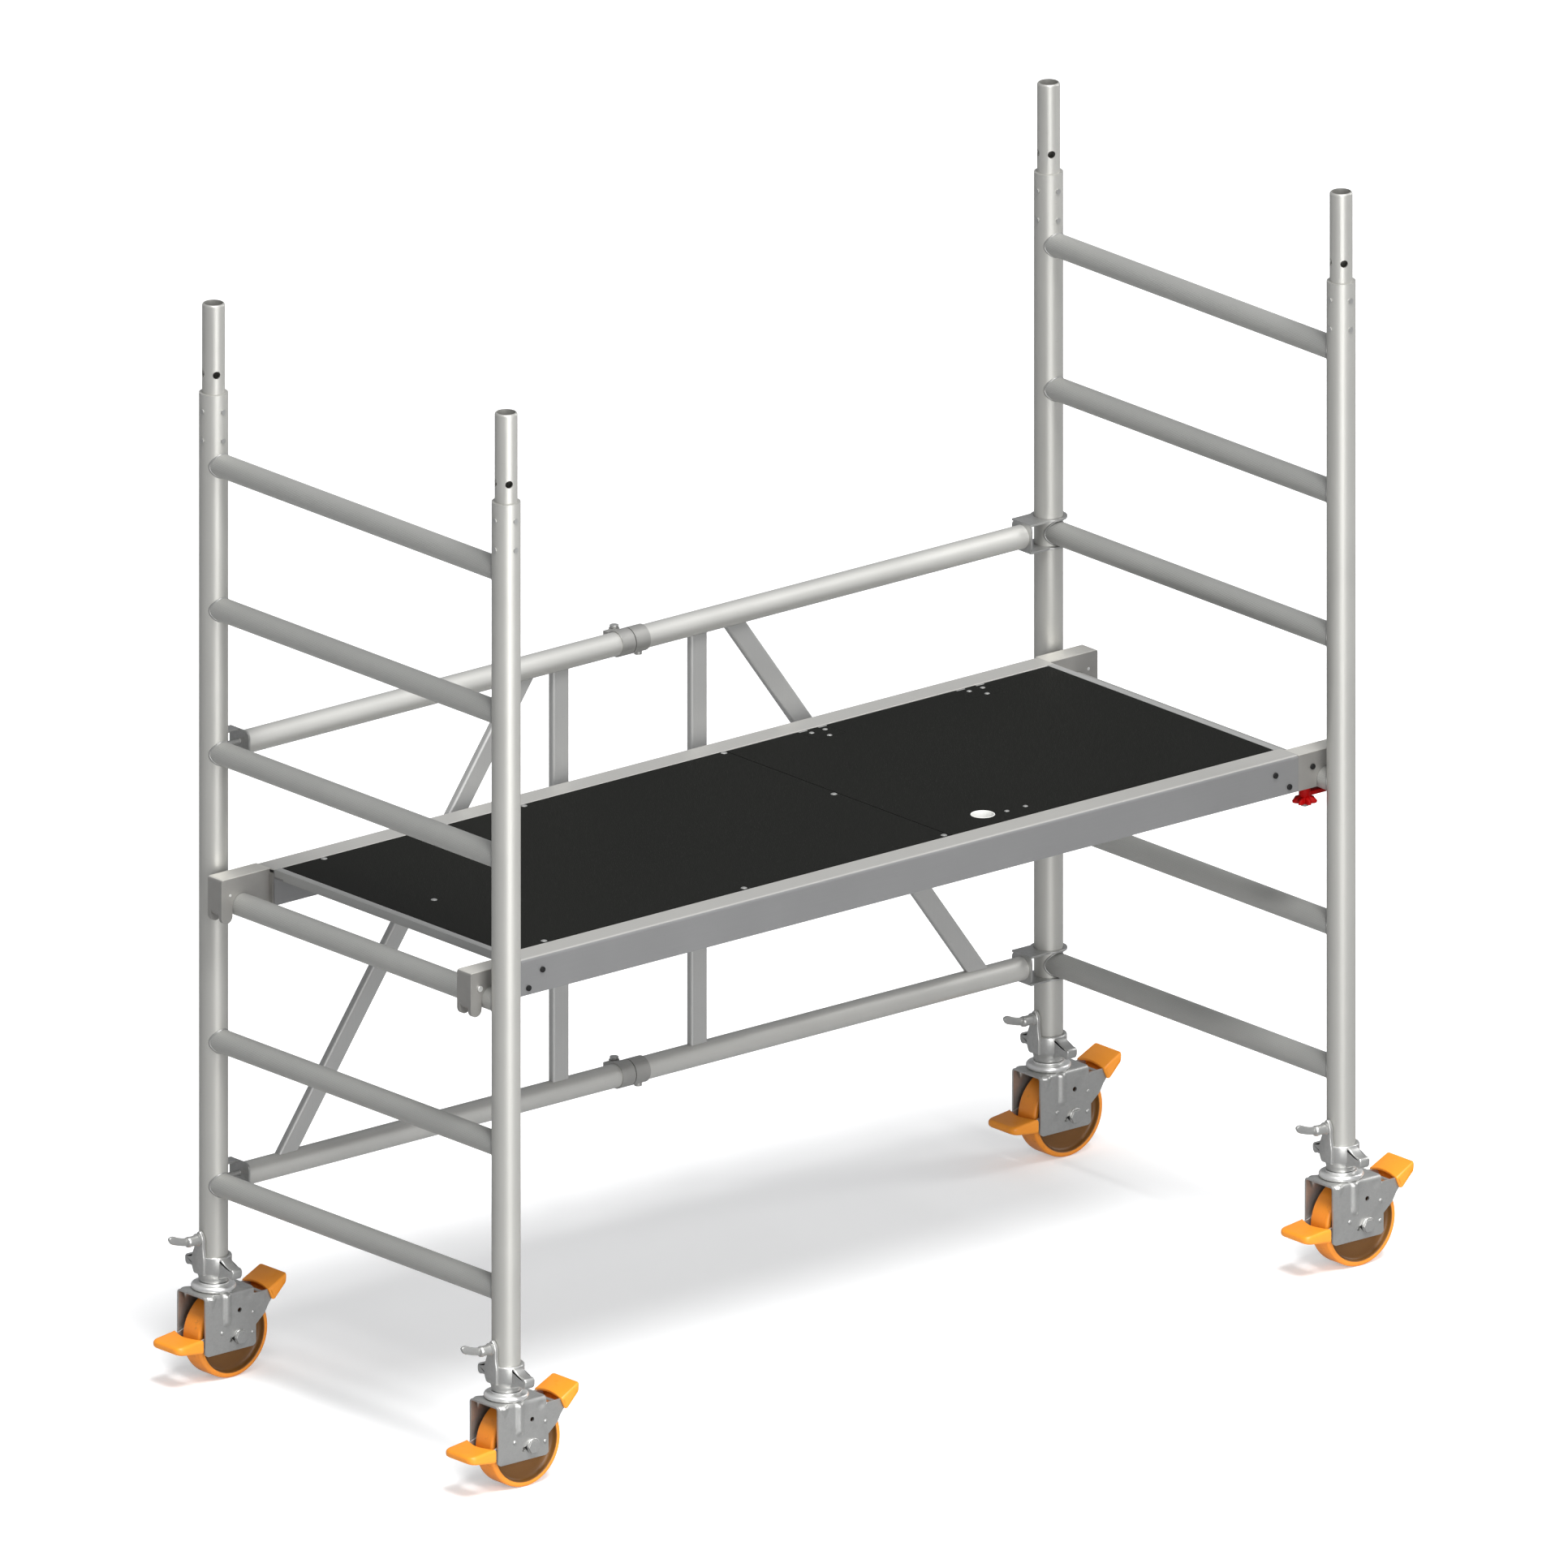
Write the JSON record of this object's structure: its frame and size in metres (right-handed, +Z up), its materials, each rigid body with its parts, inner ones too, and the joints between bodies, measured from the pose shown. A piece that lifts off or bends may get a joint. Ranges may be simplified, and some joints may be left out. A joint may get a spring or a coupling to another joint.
{
  "type": "baker scaffold",
  "caption": "Rolling baker scaffold: ladder end frames, folding back brace, hatch deck hooked on the rungs, and braked castors with spigots on top of the uprights.",
  "frame": {"origin": "on the ground in the middle of the bay, between the four uprights", "axes": "+X along the bay, to the right seen from the open front; +Y across the bay, to the folding brace at the back; +Z up"},
  "size_m": [2.04, 0.874, 1.8679],
  "materials": {
    "tube": "satin extruded tube",
    "ribbed_tube": "satin extruded tube with fine grip ribs",
    "brace_bar": "satin extruded flat bar",
    "cast_aluminium": "fine cast",
    "deck_aluminium": "satin extrusion with drawing lines",
    "deck_board": "phenolic film with a fine slip-resistant print",
    "black_metal": "black oxide",
    "red_plastic": "moulded, fine texture",
    "zinc": "zinc plated, satin",
    "wheel_plastic": "moulded nylon, semi-matte",
    "pedal_plastic": "moulded, semi-matte"
  },
  "bodies": {
    "root": {"left_front_upright": "tube", "left_back_upright": "tube", "right_front_upright": "tube", "right_back_upright": "tube", "left_rungs": "ribbed_tube", "right_rungs": "ribbed_tube", "spigots": "tube", "spigot_rivets": "zinc", "left_top_brace_tube": "tube", "right_top_brace_tube": "tube", "left_bottom_brace_tube": "tube", "right_bottom_brace_tube": "tube", "brace_posts": "brace_bar", "brace_diagonals": "brace_bar", "upright_brackets": "zinc", "left_hinge_fittings": "cast_aluminium", "right_hinge_fittings": "cast_aluminium", "brace_hinge_pins": "zinc", "front_deck_rail": "deck_aluminium", "back_deck_rail": "deck_aluminium", "deck_end_beams": "deck_aluminium", "deck_cross_beams": "deck_aluminium", "fixed_panel": "deck_board", "deck_rivets": "zinc", "claws": "cast_aluminium", "claw_bolts": "black_metal", "hatch_hinge_leaves": "zinc", "hatch_hinge_pins": "zinc", "wind_lock_bolt": "zinc", "castor_collars": "zinc"},
    "hatch": {"hatch_panel": "deck_board", "hatch_hinge_flaps": "black_metal", "hatch_screws": "zinc", "hatch_catch": "black_metal"},
    "wind_lock": {"wind_lock": "red_plastic"},
    "left_front_fork": {"left_front_fork": "zinc", "left_front_axle": "zinc"},
    "left_front_wheel": {"left_front_wheel": "wheel_plastic"},
    "left_front_brake": {"left_front_brake_arms": "zinc", "left_front_pedals": "pedal_plastic"},
    "left_front_wing_screw": {"left_front_wing_screw": "zinc"},
    "left_back_fork": {"left_back_fork": "zinc", "left_back_axle": "zinc"},
    "left_back_wheel": {"left_back_wheel": "wheel_plastic"},
    "left_back_brake": {"left_back_brake_arms": "zinc", "left_back_pedals": "pedal_plastic"},
    "left_back_wing_screw": {"left_back_wing_screw": "zinc"},
    "right_front_fork": {"right_front_fork": "zinc", "right_front_axle": "zinc"},
    "right_front_wheel": {"right_front_wheel": "wheel_plastic"},
    "right_front_brake": {"right_front_brake_arms": "zinc", "right_front_pedals": "pedal_plastic"},
    "right_front_wing_screw": {"right_front_wing_screw": "zinc"},
    "right_back_fork": {"right_back_fork": "zinc", "right_back_axle": "zinc"},
    "right_back_wheel": {"right_back_wheel": "wheel_plastic"},
    "right_back_brake": {"right_back_brake_arms": "zinc", "right_back_pedals": "pedal_plastic"},
    "right_back_wing_screw": {"right_back_wing_screw": "zinc"}
  },
  "joints": [
    {"name": "hatch_hinge", "type": "hinge", "parent": "root", "child": "hatch", "pos_m": [0.477, 0.28555, 0.8878], "axis": [-1, 0, 0], "range_deg": [0, 105]},
    {"name": "wind_lock_turn", "type": "hinge", "parent": "root", "child": "wind_lock", "pos_m": [0.868, -0.31935, 0.81], "axis": [0, 0, 1], "range_deg": [0, 90]},
    {"name": "left_front_swivel", "type": "hinge", "parent": "root", "child": "left_front_fork", "pos_m": [-0.9, -0.375, 0.168], "axis": [0, 0, 1], "continuous": true},
    {"name": "left_front_wheel_spin", "type": "hinge", "parent": "left_front_fork", "child": "left_front_wheel", "pos_m": [-0.875, -0.375, 0.075], "axis": [0, 1, 0], "continuous": true},
    {"name": "left_front_brake_rock", "type": "hinge", "parent": "left_front_fork", "child": "left_front_brake", "pos_m": [-0.875, -0.375, 0.075], "axis": [0, 1, 0], "range_deg": [0, 12]},
    {"name": "left_front_wing_turn", "type": "hinge", "parent": "root", "child": "left_front_wing_screw", "pos_m": [-0.94, -0.375, 0.2463], "axis": [1, 0, 0], "continuous": true},
    {"name": "left_back_swivel", "type": "hinge", "parent": "root", "child": "left_back_fork", "pos_m": [-0.9, 0.375, 0.168], "axis": [0, 0, 1], "continuous": true},
    {"name": "left_back_wheel_spin", "type": "hinge", "parent": "left_back_fork", "child": "left_back_wheel", "pos_m": [-0.875, 0.375, 0.075], "axis": [0, 1, 0], "continuous": true},
    {"name": "left_back_brake_rock", "type": "hinge", "parent": "left_back_fork", "child": "left_back_brake", "pos_m": [-0.875, 0.375, 0.075], "axis": [0, 1, 0], "range_deg": [0, 12]},
    {"name": "left_back_wing_turn", "type": "hinge", "parent": "root", "child": "left_back_wing_screw", "pos_m": [-0.94, 0.375, 0.2463], "axis": [1, 0, 0], "continuous": true},
    {"name": "right_front_swivel", "type": "hinge", "parent": "root", "child": "right_front_fork", "pos_m": [0.9, -0.375, 0.168], "axis": [0, 0, 1], "continuous": true},
    {"name": "right_front_wheel_spin", "type": "hinge", "parent": "right_front_fork", "child": "right_front_wheel", "pos_m": [0.925, -0.375, 0.075], "axis": [0, 1, 0], "continuous": true},
    {"name": "right_front_brake_rock", "type": "hinge", "parent": "right_front_fork", "child": "right_front_brake", "pos_m": [0.925, -0.375, 0.075], "axis": [0, 1, 0], "range_deg": [0, 12]},
    {"name": "right_front_wing_turn", "type": "hinge", "parent": "root", "child": "right_front_wing_screw", "pos_m": [0.86, -0.375, 0.2463], "axis": [1, 0, 0], "continuous": true},
    {"name": "right_back_swivel", "type": "hinge", "parent": "root", "child": "right_back_fork", "pos_m": [0.9, 0.375, 0.168], "axis": [0, 0, 1], "continuous": true},
    {"name": "right_back_wheel_spin", "type": "hinge", "parent": "right_back_fork", "child": "right_back_wheel", "pos_m": [0.925, 0.375, 0.075], "axis": [0, 1, 0], "continuous": true},
    {"name": "right_back_brake_rock", "type": "hinge", "parent": "right_back_fork", "child": "right_back_brake", "pos_m": [0.925, 0.375, 0.075], "axis": [0, 1, 0], "range_deg": [0, 12]},
    {"name": "right_back_wing_turn", "type": "hinge", "parent": "root", "child": "right_back_wing_screw", "pos_m": [0.86, 0.375, 0.2463], "axis": [1, 0, 0], "continuous": true}
  ]
}
